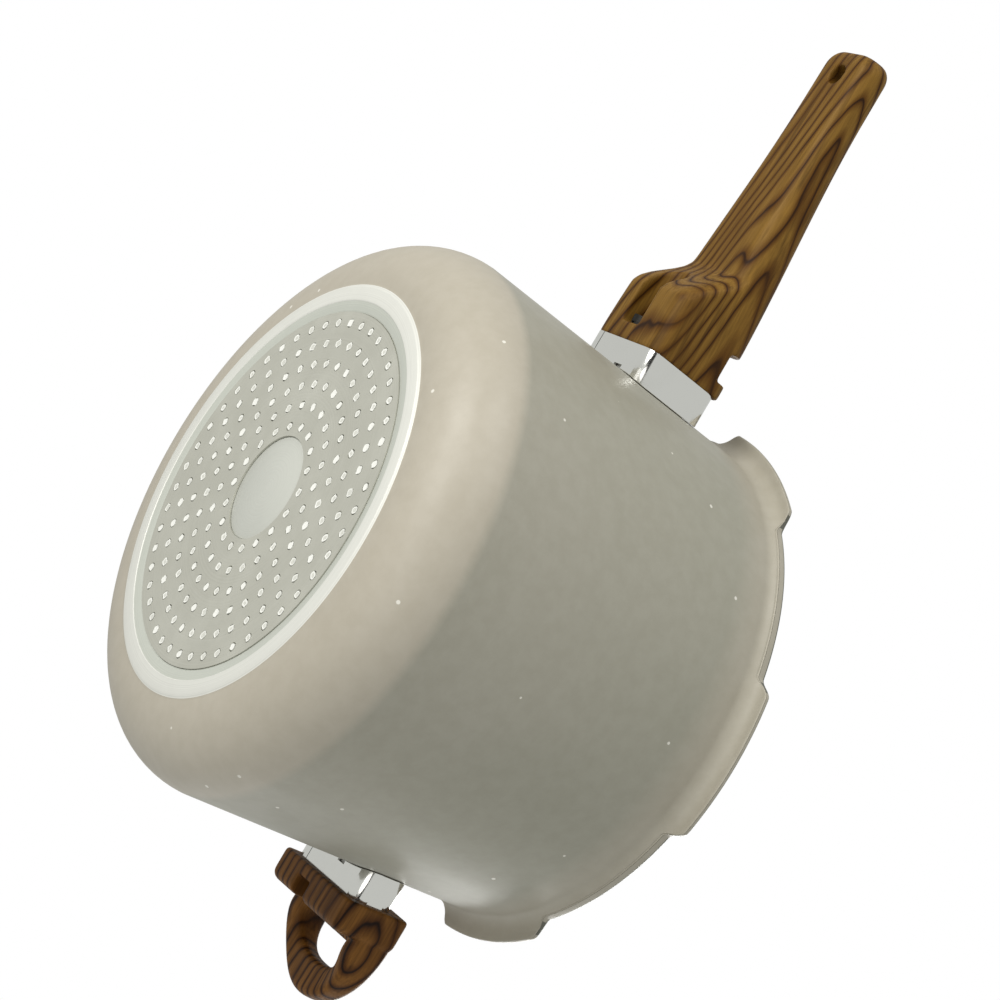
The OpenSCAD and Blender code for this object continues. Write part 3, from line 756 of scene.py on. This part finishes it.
def add_pip(bm, x, y, draw):
    turn = draw.uniform(0, math.tau)
    wide, tall = draw.uniform(0.88, 1.12), draw.uniform(0.84, 1.10)
    made = bmesh.ops.create_circle(bm, cap_ends=True, segments=14, radius=pip_r)
    for vert in made["verts"]:
        a = math.atan2(vert.co.y, vert.co.x)
        squared = 1 / (abs(math.cos(a)) ** 3.6 + abs(math.sin(a)) ** 3.6) ** (1 / 3.6)
        grow = squared * draw.uniform(0.84, 1.02) * 0.88
        px, py = vert.co.x * grow * wide, vert.co.y * grow * tall
        vert.co = (x + px * math.cos(turn) - py * math.sin(turn),
                   y + px * math.sin(turn) + py * math.cos(turn),
                   plate_face - draw.uniform(0.08, 0.13) * MM)
    face = made["verts"][0].link_faces[0]
    if face.normal.z > 0:
        face.normal_flip()
    bmesh.ops.inset_individual(bm, faces=[face], thickness=draw.uniform(0.4, 0.75) * MM,
                               depth=-draw.uniform(0.04, 0.09) * MM)
    face.material_index = draw.choice((0, 1, 1))
    edges = [e for v in made["verts"] for e in v.link_edges if len(e.link_faces) == 1]
    skirt = bmesh.ops.extrude_edge_only(bm, edges=list(set(edges)))
    for vert in (v for v in skirt["geom"] if isinstance(v, bmesh.types.BMVert)):
        vert.co = (x + (vert.co.x - x) * 0.99, y + (vert.co.y - y) * 0.99, plate_face + 0.02 * MM)
    shank = bmesh.ops.extrude_edge_only(
        bm, edges=[e for e in skirt["geom"]
                   if isinstance(e, bmesh.types.BMEdge) and len(e.link_faces) == 1])
    for vert in (v for v in shank["geom"] if isinstance(v, bmesh.types.BMVert)):
        vert.co = (x + (vert.co.x - x) * 0.86, y + (vert.co.y - y) * 0.86, recess_z + 0.1 * MM)
    bmesh.ops.holes_fill(bm, edges=[e for e in shank["geom"] if isinstance(e, bmesh.types.BMEdge)
                                    and len(e.link_faces) == 1])


def make_pips():
    draw = random.Random(7)
    bm = bmesh.new()
    for ring in range(ring_count):
        count = 6 * (ring + 3)
        radius = first_ring_r + ring * ring_pitch
        for k in range(count):
            a = math.tau * k / count
            add_pip(bm, radius * math.cos(a), radius * math.sin(a), draw)
    bmesh.ops.recalc_face_normals(bm, faces=bm.faces)
    piece = finish_mesh("base_pips", bm, [pip_metal, pip_middle], 30)
    place_piece(piece, "pot", "coated_aluminium")


make_pips()
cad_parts["induction_plate"].data.materials[0] = plate_steel

# %% [markdown]
# ## The long handle
#
# The handle is moulded with a deep butt that fills its collar, a hump down to a flatter grip, a slot
# across its top behind a small nub, a pocket for the screw underneath and a hole to hang it by. Its
# sections are rounded rectangles that change along its length. Each is a circle whose points are
# moved onto the section, and bridging joins one section to the next.

# %% Sizes of the long handle
butt_z = 117.3 * MM
collar_gap = 0.3 * MM
collar_l = 11 * MM
butt_x = wall_x(butt_z) + collar_gap + collar_l
grip_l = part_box("long_handle")[1].x - butt_x
butt_w, butt_h = 46 * MM, 36 * MM
grip_w, grip_t = 30.5 * MM, 15.2 * MM
crown_h = 2.6 * MM
butt_under, butt_over = butt_z - butt_h / 2, butt_z + butt_h / 2 + crown_h
grip_over_z = butt_over - 1.5 * MM
grip_under_z = grip_over_z - grip_t
tail_curve = 7 * MM
section_points = 48
shank_bore_r = 2.7 * MM
seat_depth, pocket_off, pocket_rise = 8.5 * MM, -3.5 * MM, 6 * MM
pocket_r, pocket_end, mouth_l = 6.2 * MM, 66 * MM, 45 * MM
slot_from, slot_to, slot_drop = 5 * MM, 16.6 * MM, 7 * MM
hang_inset, hang_r = 11 * MM, 4.2 * MM
print("long handle", round(grip_l * 1000), "mm beyond its collar")


# %% Section of the grip at a distance from the butt
def ease(t):
    t = min(1.0, max(0.0, t))
    return t * t * (3 - 2 * t)


def blend_of(a, b, t):
    return a + (b - a) * t


def grip_section(s):
    u = min(1.0, max(0.0, (s - grip_l + tail_curve) / tail_curve))
    inset = tail_curve * (1 - math.sqrt(1 - u * u))
    width = blend_of(butt_w, grip_w, ease(s / (grip_l * 0.85))) - 2 * inset
    rise = ease((s - 24 * MM) / (21 * MM))
    low = blend_of(butt_under, grip_under_z - 4.4 * MM * (1 - s / grip_l), rise) + inset * 0.4
    high = blend_of(butt_over, grip_over_z, ease((s - 12 * MM) / (grip_l * 0.75))) - inset * 0.4
    most = min((high - low) * 0.42, width * 0.42)
    r_low = min(blend_of(6 * MM, 7.2 * MM, ease(s / (40 * MM))), most)
    r_high = min(6.5 * MM, most)
    rake = wall_lean * (1 - ease(s / (12 * MM)))
    points = []
    for quarter in range(4):
        r = r_high if quarter < 2 else r_low
        side = 1 if quarter in (0, 3) else -1
        for y, z in arc(side * (width / 2 - r), high - r if quarter < 2 else low + r, r,
                        90 * quarter, 90 * quarter + 90, section_points // 4 - 1):
            points.append(Vector((butt_x + s - rake * (z - butt_z), y, z)))
    return points


print("grip section", len(grip_section(0)), "points")


# %% Skin over a row of sections
def bridge_sections(sections):
    bm = bmesh.new()
    rings = []
    for points in sections:
        made = bmesh.ops.create_circle(bm, cap_ends=False, segments=len(points), radius=1)
        for vert, place in zip(made["verts"], points):
            vert.co = place
        rings.append(list({e for v in made["verts"] for e in v.link_edges}))
    for a, b in zip(rings, rings[1:]):
        bmesh.ops.bridge_loops(bm, edges=a + b)
    bmesh.ops.holes_fill(bm, edges=[e for e in bm.edges if len(e.link_faces) == 1])
    bmesh.ops.recalc_face_normals(bm, faces=bm.faces)
    return bm


# %% The long handle
def make_long_handle():
    straight = grip_l - tail_curve
    steps = [straight * k / 44 for k in range(45)]
    steps += [straight + tail_curve * math.sin(math.radians(a)) for a in range(12, 91, 13)]
    piece = finish_mesh("long_grip", bridge_sections([grip_section(s) for s in steps]), [long_wood])
    screw_x, screw_y, screw_z = butt_x + seat_depth, pocket_off, butt_under + pocket_rise
    pocket_l = pocket_end - seat_depth
    hang_x = butt_x + grip_l - hang_inset
    carve(piece, [
        rod_cutter((screw_x + pocket_l / 2, screw_y, screw_z), pocket_l, pocket_r, "X"),
        box_cutter((screw_x, screw_y - pocket_r, 0.05),
                   (screw_x + mouth_l, screw_y + pocket_r, screw_z)),
        rod_cutter((screw_x - 20 * MM, screw_y, screw_z), 44 * MM, shank_bore_r, "X"),
        box_cutter((butt_x + slot_from, -0.04, butt_over - slot_drop),
                   (butt_x + slot_to, 0.04, 0.2)),
        rod_cutter((hang_x, 0, 0.13), 0.08, hang_r, "Z")])
    mould(piece, 0.62 * MM, 9)
    place_piece(piece, "pot", "handle_moulding", "long_handle")


make_long_handle()

# %% [markdown]
# ## The helper handle
#
# The helper is a cross bar with a thinner, rounded loop on its outer side. The bar is a block whose
# outer edges are rounded and whose edge at the collar stays crisp. The loop is a band of rounded
# sections that runs from one end of the bar round to the other. They overlap, and the voxel skin
# welds them with a soft fillet, as the moulding has.

# %% Sizes of the helper handle
helper_z = 115.4 * MM
helper_collar_l = 9.2 * MM
helper_x = wall_x(helper_z) + collar_gap + helper_collar_l
helper_w, helper_h = 54 * MM, 19 * MM
bar_d, bar_w, bar_h = 14 * MM, 60.6 * MM, 29 * MM
bar_top = helper_z + 16 * MM
bar_out = helper_x + bar_d
loop_d, loop_w, loop_t = 31 * MM, 58 * MM, 8.5 * MM
root_t, loop_drop = 15 * MM, 2.8 * MM
gap_start, gap_w = 3 * MM, loop_w - 16 * MM
gap_d = loop_d - 13.5 * MM - gap_start
bar_end_r, bar_face_r, bar_collar_r, web_r = 2.6 * MM, 4 * MM, MM, 2.8 * MM
print("helper handle", round((bar_d + loop_d) * 1000), "mm beyond its collar")


# %% Bar of the helper handle
def bar_solid():
    bm = bmesh.new()
    bmesh.ops.create_cube(bm, size=1)
    bmesh.ops.scale(bm, vec=(bar_d, bar_w, bar_h), verts=bm.verts)
    bmesh.ops.translate(bm, vec=(helper_x + bar_d / 2, 0, bar_top - bar_h / 2), verts=bm.verts)
    along = [e for e in bm.edges if abs(e.verts[0].co.x - e.verts[1].co.x) > bar_d / 2]
    soften_edges(bm, along, bar_end_r, 5)
    outer = [e for e in bm.edges if all(v.co.x > bar_out - 1e-5 for v in e.verts)]
    soften_edges(bm, outer, bar_face_r, 7)
    inner = [e for e in bm.edges if all(v.co.x < helper_x + 1e-5 for v in e.verts)]
    soften_edges(bm, inner, bar_collar_r, 3)
    for vert in bm.verts:
        share = 1 - (vert.co.x - helper_x) / bar_d
        vert.co.x -= wall_lean * (vert.co.z - helper_z) * share
    return bm


# %% Loop of the helper handle
loop_turn_x = bar_out + loop_d - loop_w / 2
gap_trim = 0.9 * MM
gap_end = bar_out + gap_start + gap_d - gap_trim
loop_low_r, loop_high_r = 3.2 * MM, 3 * MM


def loop_section(outer, inner):
    outer, inner = Vector((*outer, 0)), Vector((*inner, 0))
    across = outer - inner
    middle = (outer + inner) / 2
    half = across.length / 2
    across.normalize()
    out = max(0.0, (middle.x - bar_out) / loop_d)
    top = bar_top - loop_drop * out
    thick = blend_of(root_t + MM, loop_t + 0.6 * MM, ease((out - 0.1) / 0.65))
    points = []
    for quarter in range(4):
        r = min(loop_high_r if quarter < 2 else loop_low_r, half * 0.9, thick * 0.48)
        side = 1 if quarter in (0, 3) else -1
        for w, z in arc(side * (half - r), top - r if quarter < 2 else top - thick + r, r,
                        90 * quarter, 90 * quarter + 90, 8):
            points.append(middle + across * w + Vector((0, 0, z)))
    return points


def loop_solid():
    half_out, half_in = loop_w / 2, gap_w / 2 - gap_trim
    start_x = bar_out - 7 * MM
    rows = []
    for side in (-1, 1):
        straight = [((x, side * half_out), (x, side * half_in))
                    for x in (start_x, bar_out - 3 * MM, bar_out)]
        rows.append(straight if side < 0 else straight[::-1])
    turns = [math.radians(a) for a in range(-90, 91, 6)]
    round_end = [((loop_turn_x + half_out * math.cos(a), half_out * math.sin(a)),
                  (loop_turn_x + (gap_end - loop_turn_x) * max(0.0, math.cos(a)) ** 0.75,
                   half_in * math.copysign(abs(math.sin(a)) ** 0.8, a))) for a in turns]
    path = rows[0] + round_end + rows[1]
    return bridge_sections([loop_section(outer, inner) for outer, inner in path])


# %% Web between the bar and the finger gap
def web_solid():
    bm = bmesh.new()
    low, high = bar_out - 7 * MM, bar_out + gap_start
    bmesh.ops.create_cube(bm, size=1)
    bmesh.ops.scale(bm, vec=(high - low, gap_w + 6 * MM, root_t), verts=bm.verts)
    bmesh.ops.translate(bm, vec=((low + high) / 2, 0, bar_top - root_t / 2), verts=bm.verts)
    outer = [e for e in bm.edges if all(v.co.x > high - 1e-5 for v in e.verts)
             and abs(e.verts[0].co.y - e.verts[1].co.y) > gap_w / 2]
    soften_edges(bm, outer, web_r, 6)
    return bm


# %% The helper handle
def make_helper_handle():
    bm = bar_solid()
    join_into(bm, loop_solid())
    join_into(bm, web_solid())
    whole = finish_mesh("helper_loop", bm, [helper_wood])
    mould(whole, 0.55 * MM, 2)
    pocket_x, pocket_y, pocket_z = helper_x + 6 * MM, 6 * MM, helper_z - 3 * MM
    head_r, head_l, open_l = 5.4 * MM, 19 * MM, 17 * MM
    carve(whole, [
        rod_cutter((pocket_x + head_l / 2, pocket_y, pocket_z), head_l, head_r, "X"),
        box_cutter((pocket_x, pocket_y - head_r, 0.05),
                   (pocket_x + open_l, pocket_y + head_r, pocket_z)),
        rod_cutter((pocket_x - 10 * MM, pocket_y, pocket_z), 24 * MM, shank_bore_r, "X")])
    mould(whole, 0.55 * MM, 6)
    whole.data.transform(Matrix.Rotation(math.pi, 4, "Z"))
    place_piece(whole, "pot", "handle_moulding", "helper_handle")


make_helper_handle()

# %% [markdown]
# ## The collars
#
# Each handle meets the wall through a sleeve of polished sheet, bent round a former and butted where
# its seam doesn't show from above. The bend's outline is a square plate with its corners bevelled,
# inset by the sheet's thickness and extruded. One end follows the wall, the other leans as the wall
# does and tucks a hair into the moulding. Small slots at the wall let water out.

# %% Collars
collar_r = 6 * MM
sheet_t = MM
tuck = 0.25 * MM
seam_w, seam_place = 0.4 * MM, 0.33
drain_w, drain_d = 5.5 * MM, 1.4 * MM
sheet_edge_r = 0.2 * MM
flat_limit = 0.9985


def make_collar(name, width, height, mid_z, length, seam_y, turn):
    bm = bmesh.new()
    made = bmesh.ops.create_grid(bm, x_segments=1, y_segments=1, size=0.5)
    bmesh.ops.scale(bm, vec=(width, height, 1), verts=made["verts"])
    bmesh.ops.bevel(bm, geom=list(bm.verts), offset=collar_r, affect="VERTICES", segments=12,
                    profile=0.5, material=-1)
    rim = bmesh.ops.inset_region(bm, faces=list(bm.faces), thickness=sheet_t,
                                 use_boundary=True, use_even_offset=True)["faces"]
    bmesh.ops.delete(bm, geom=[f for f in bm.faces if f not in rim], context="FACES")
    drawn = bmesh.ops.extrude_face_region(bm, geom=list(bm.faces))
    bmesh.ops.translate(bm, vec=(0, 0, length), verts=[
        v for v in drawn["geom"] if isinstance(v, bmesh.types.BMVert)])
    bmesh.ops.recalc_face_normals(bm, faces=bm.faces)
    flats = [e for e in bm.edges if e.calc_length() > height / 3
             and abs(e.verts[0].co.z - e.verts[1].co.z) < MM]
    bmesh.ops.subdivide_edges(bm, edges=flats, cuts=31, use_grid_fill=True)
    ends = [e for e in bm.edges if len({round(f.normal.z) for f in e.link_faces}) == 2]
    soften_edges(bm, ends, sheet_edge_r, 2)
    for vert in bm.verts:
        across, up, along = vert.co
        z = mid_z + up
        at_wall = math.sqrt((wall_x(z) + collar_gap) ** 2 - across ** 2)
        flat_end = wall_x(z) + collar_gap + length + tuck
        vert.co = (at_wall + (flat_end - at_wall) * along / length, across, z)
    piece = finish_mesh(name, bm, [chrome], 28)
    low = mid_z - height / 2
    bottom, top = low - MM, low + 2 * MM
    inner_x, drain_x = wall_x(low) - 5 * MM, wall_x(low) + collar_gap + drain_d
    cutters = [box_cutter((0.05, seam_y - seam_w / 2, bottom), (0.2, seam_y + seam_w / 2, top))]
    for middle in (-drain_w, drain_w):
        cutters.append(box_cutter((inner_x, middle - drain_w / 2, bottom),
                                  (drain_x, middle + drain_w / 2, top)))
    carve(piece, cutters)
    for face in piece.data.polygons:
        face.use_smooth = max(abs(face.normal.y), abs(face.normal.z)) < flat_limit
    piece.data.transform(Matrix.Rotation(turn, 4, "Z"))
    place_piece(piece, "pot", "polished_collar", name.replace("_sleeve", "_collar"))


make_collar("long_handle_sleeve", butt_w, butt_h, butt_z, collar_l, -butt_w * seam_place, 0)
make_collar("helper_handle_sleeve", helper_w, helper_h, helper_z, helper_collar_l,
            helper_w * seam_place, math.pi)

# %% [markdown]
# ## The lid
#
# The lid is a pressed dome of tempered glass in a rolled steel band that hangs in the mouth. A knob
# with the same figure as the handles sits on a bright ring, and a steel eyelet lets steam out. All
# of them are turned shapes, so all are spun from profiles whose edges are arcs.

# %% Sizes of the lid
skirt_r = wall_x(seat_z) - wall_t - 0.7 * MM
band_t = 0.6 * MM
band_r = seat_r - 0.4 * MM
glass_r = skirt_r - band_t - 0.1 * MM
glass_t = 4 * MM
glass_z = seat_z + band_t + 0.05 * MM
dome_h = 20 * MM
dome_r = (glass_r ** 2 + dome_h ** 2) / (2 * dome_h)
crown_z = glass_z + dome_h + glass_t
vent_r, vent_at = 3 * MM, 56 * MM


def glass_top(r):
    return crown_z - dome_r + math.sqrt(dome_r ** 2 - r ** 2)


print("glass", round(2000 * glass_r), "mm across, crown at", round(1000 * crown_z), "mm")


# %% Glass
def make_glass():
    hole = 4.5 * MM
    under_r = dome_r - glass_t
    centre_z = crown_z - dome_r
    top = [(r, glass_top(r))
           for r in (hole + (glass_r - 0.6 * MM - hole) * k / 26 for k in range(27))]
    low_r = math.sqrt(under_r ** 2 - (glass_z - centre_z) ** 2)
    edge = [(glass_r, glass_top(glass_r) - 0.6 * MM), (glass_r, glass_z + 0.4 * MM),
            (glass_r - 0.4 * MM, glass_z), (low_r, glass_z)]
    under = [(r, centre_z + math.sqrt(under_r ** 2 - r ** 2))
             for r in (low_r + (hole - low_r) * k / 26 for k in range(1, 27))]
    bm = spin_profile(top + edge + under, 180, closed=True)
    piece = finish_mesh("glass_dome", bm, [glass], 30)
    carve(piece, [rod_cutter((vent_at, 0, 0.18), 0.06, vent_r + 0.8 * MM, "Z")])
    piece.data.shade_smooth()
    piece.data.set_sharp_from_angle(angle=math.radians(30))
    place_piece(piece, "lid", "lid_glass", "lid_glass")


make_glass()


# %% Rolled band
def make_band():
    skirt_z = seat_z - 4 * MM
    lip_z = glass_top(glass_r) + 0.1 * MM
    lip_in = glass_r - 3.5 * MM
    half = band_t / 2
    outside = [(skirt_r - half * 0.3, skirt_z), (skirt_r, skirt_z + 0.3 * MM),
               (skirt_r, seat_z - 0.25 * MM)]
    outside += [(skirt_r + 0.25 * MM, seat_z), (band_r - 0.3 * MM, seat_z)]
    outside += arc(band_r - 0.3 * MM, seat_z + 0.3 * MM, 0.3 * MM, -90, 0, 3)
    outside += arc(band_r - 1.2 * MM, lip_z - 0.5 * MM, 1.2 * MM, 0, 75, 6)
    outside += [(glass_r - 1.4 * MM, lip_z + band_t + 0.25 * MM),
                (lip_in + 0.3 * MM, glass_top(lip_in) + 0.1 * MM + band_t)]
    inside = [(lip_in, glass_top(lip_in) + 0.3 * MM),
              (lip_in + 0.2 * MM, glass_top(lip_in) + 0.1 * MM),
              (glass_r + 0.1 * MM, lip_z), (glass_r + 0.1 * MM, glass_z - 0.05 * MM),
              (skirt_r - band_t, glass_z - band_t - 0.1 * MM),
              (skirt_r - band_t, skirt_z + 0.3 * MM),
              (skirt_r - band_t + 0.2 * MM, skirt_z)]
    bm = spin_profile(outside + inside, 300, closed=True)
    piece = finish_mesh("rolled_band", bm, [stainless], 40)
    place_piece(piece, "lid", "lid_steel", "lid_rim_band")


make_band()

# %% Knob
ring_r, ring_h = 14 * MM, 5 * MM
gasket_t = MM
knob_z = crown_z + gasket_t + ring_h
knob_r, knob_h = 18.5 * MM, 22 * MM
insert_r, insert_l = 4.2 * MM, 11 * MM


def make_knob():
    top_z = knob_z + knob_h
    cap_r = 7 * MM
    waist = arc(ring_r - 2.5 * MM + 9 * MM, knob_z + 5.5 * MM, 7.2 * MM, 222, 128, 14)
    side = [(ring_r - 1.6 * MM, knob_z), (ring_r - 0.9 * MM, knob_z + 0.2 * MM)]
    side += waist
    side += arc(knob_r - cap_r, top_z - cap_r, cap_r, -12, 90, 16)
    crown = [(r * MM, top_z) for r in (7, 3, 0)]
    hollow = [(0, knob_z + insert_l + MM), (insert_r, knob_z + insert_l + MM), (insert_r, knob_z)]
    bm = spin_profile(side + crown, 144)
    join_into(bm, spin_profile(hollow, 144))
    open_rims = [e for e in bm.edges if e.is_boundary
                 and all(abs(v.co.z - knob_z) < 1e-7 for v in e.verts)]
    bmesh.ops.bridge_loops(bm, edges=open_rims)
    bmesh.ops.recalc_face_normals(bm, faces=bm.faces)
    piece = finish_mesh("turned_knob", bm, [helper_wood], 40)
    place_piece(piece, "lid", "handle_moulding", "lid_knob")


make_knob()


# %% Bright ring and vent eyelet
def make_knob_ring():
    low = crown_z + gasket_t
    outer = ring_r + 2 * MM
    points = [(ring_r - 3 * MM, low), (outer - 0.3 * MM, low), (outer, low + 0.3 * MM),
              (outer, low + MM)]
    points += arc(outer - 0.5 * MM, low + 1.1 * MM, 0.5 * MM, 0, 60, 3)
    points += [(ring_r + 0.5 * MM, low + 3 * MM), (ring_r + 0.1 * MM, low + ring_h - 0.5 * MM)]
    points += arc(ring_r - 0.4 * MM, low + ring_h - 0.5 * MM, 0.5 * MM, 10, 90, 4)
    points += [(2.9 * MM, low + ring_h), (2.9 * MM, low + ring_h - MM),
               (ring_r - 3 * MM, low + ring_h - MM)]
    piece = finish_mesh("bright_ring", spin_profile(points, 144, closed=True), [stainless], 35)
    place_piece(piece, "lid", "lid_steel", "lid_knob_ring")


def make_eyelet():
    tube = vent_r + 0.6 * MM
    top = glass_top(vent_at - vent_r - 3 * MM) + 0.1 * MM
    low = glass_top(vent_at + vent_r + 3 * MM) - glass_t - 0.3 * MM
    flange = vent_r + 2.6 * MM
    sheet = 0.6 * MM
    points = [(vent_r, low - sheet * 0.6), (vent_r + 0.3 * MM, low - sheet),
              (flange - 0.3 * MM, low - sheet), (flange, low - sheet / 2),
              (flange - 0.3 * MM, low), (tube, low), (tube, top), (flange - 0.3 * MM, top)]
    points += arc(flange - 0.3 * MM, top + 0.3 * MM, 0.3 * MM, -90, 90, 5)
    points += [(vent_r + 0.7 * MM, top + sheet), (vent_r + 0.2 * MM, top + sheet * 0.7),
               (vent_r, top)]
    bm = spin_profile(points, 72, centre=(vent_at, 0), closed=True)
    piece = finish_mesh("vent_eyelet", bm, [stainless], 35)
    place_piece(piece, "lid", "lid_steel", "lid_vent_eyelet")


make_knob_ring()
make_eyelet()

# %% [markdown]
# ## Pieces that keep their CAD shape
#
# The bosses, screws, washers, gaskets and the insert have the right shape already, so each only gets
# the finish of its metal or rubber, except the handle screws and their washers: they are coloured
# near black as painted shade in their pockets.

# %% Finishes of the carried-over pieces
kept_finishes = {
    "long_handle_boss": cast_metal, "helper_handle_boss": cast_metal,
    # The handle screws and their spring washers take the near-black steel as painted shade.
    "long_handle_screw": pocket_shade_steel, "helper_handle_screw": pocket_shade_steel, "lid_knob_screw": zinc,
    "long_handle_spring_washer": pocket_shade_steel, "helper_handle_spring_washer": pocket_shade_steel,
    "lid_knob_washer": stainless, "lid_knob_insert": brass,
    "lid_knob_gasket": silicone, "lid_under_gasket": silicone}
for node_name, finish in kept_finishes.items():
    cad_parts[node_name].data.materials[0] = finish
print("kept CAD pieces", len(kept_finishes) + 1)


# %% [markdown]
# ## Dark card
#
# Polished metal in an all-white room looks like white plastic. A dark card beside it gives the
# metal something dark to show. This card is seen by reflections only: it gives no shadow and the
# camera doesn't see it.


# %% Dark card that the polished metal reflects
def make_card():
    bm = bmesh.new()
    bmesh.ops.create_grid(bm, x_segments=1, y_segments=1, size=0.5)
    bmesh.ops.scale(bm, vec=(2.6, 0.9, 1), verts=bm.verts)
    bmesh.ops.rotate(bm, verts=bm.verts, matrix=Matrix.Rotation(math.radians(36), 3, "X"))
    bmesh.ops.translate(bm, vec=(0, 1.02, -1.15), verts=bm.verts)
    card = finish_mesh("dark_card", bm, [])
    material, _, shader = new_finish("card_black", Roughness=0.9)
    shader.inputs["Base Color"].default_value = (0.01, 0.01, 0.01, 1)
    card.data.materials.append(material)
    card.visible_camera = False
    card.visible_diffuse = False
    card.visible_shadow = False
    card.visible_transmission = False


make_card()
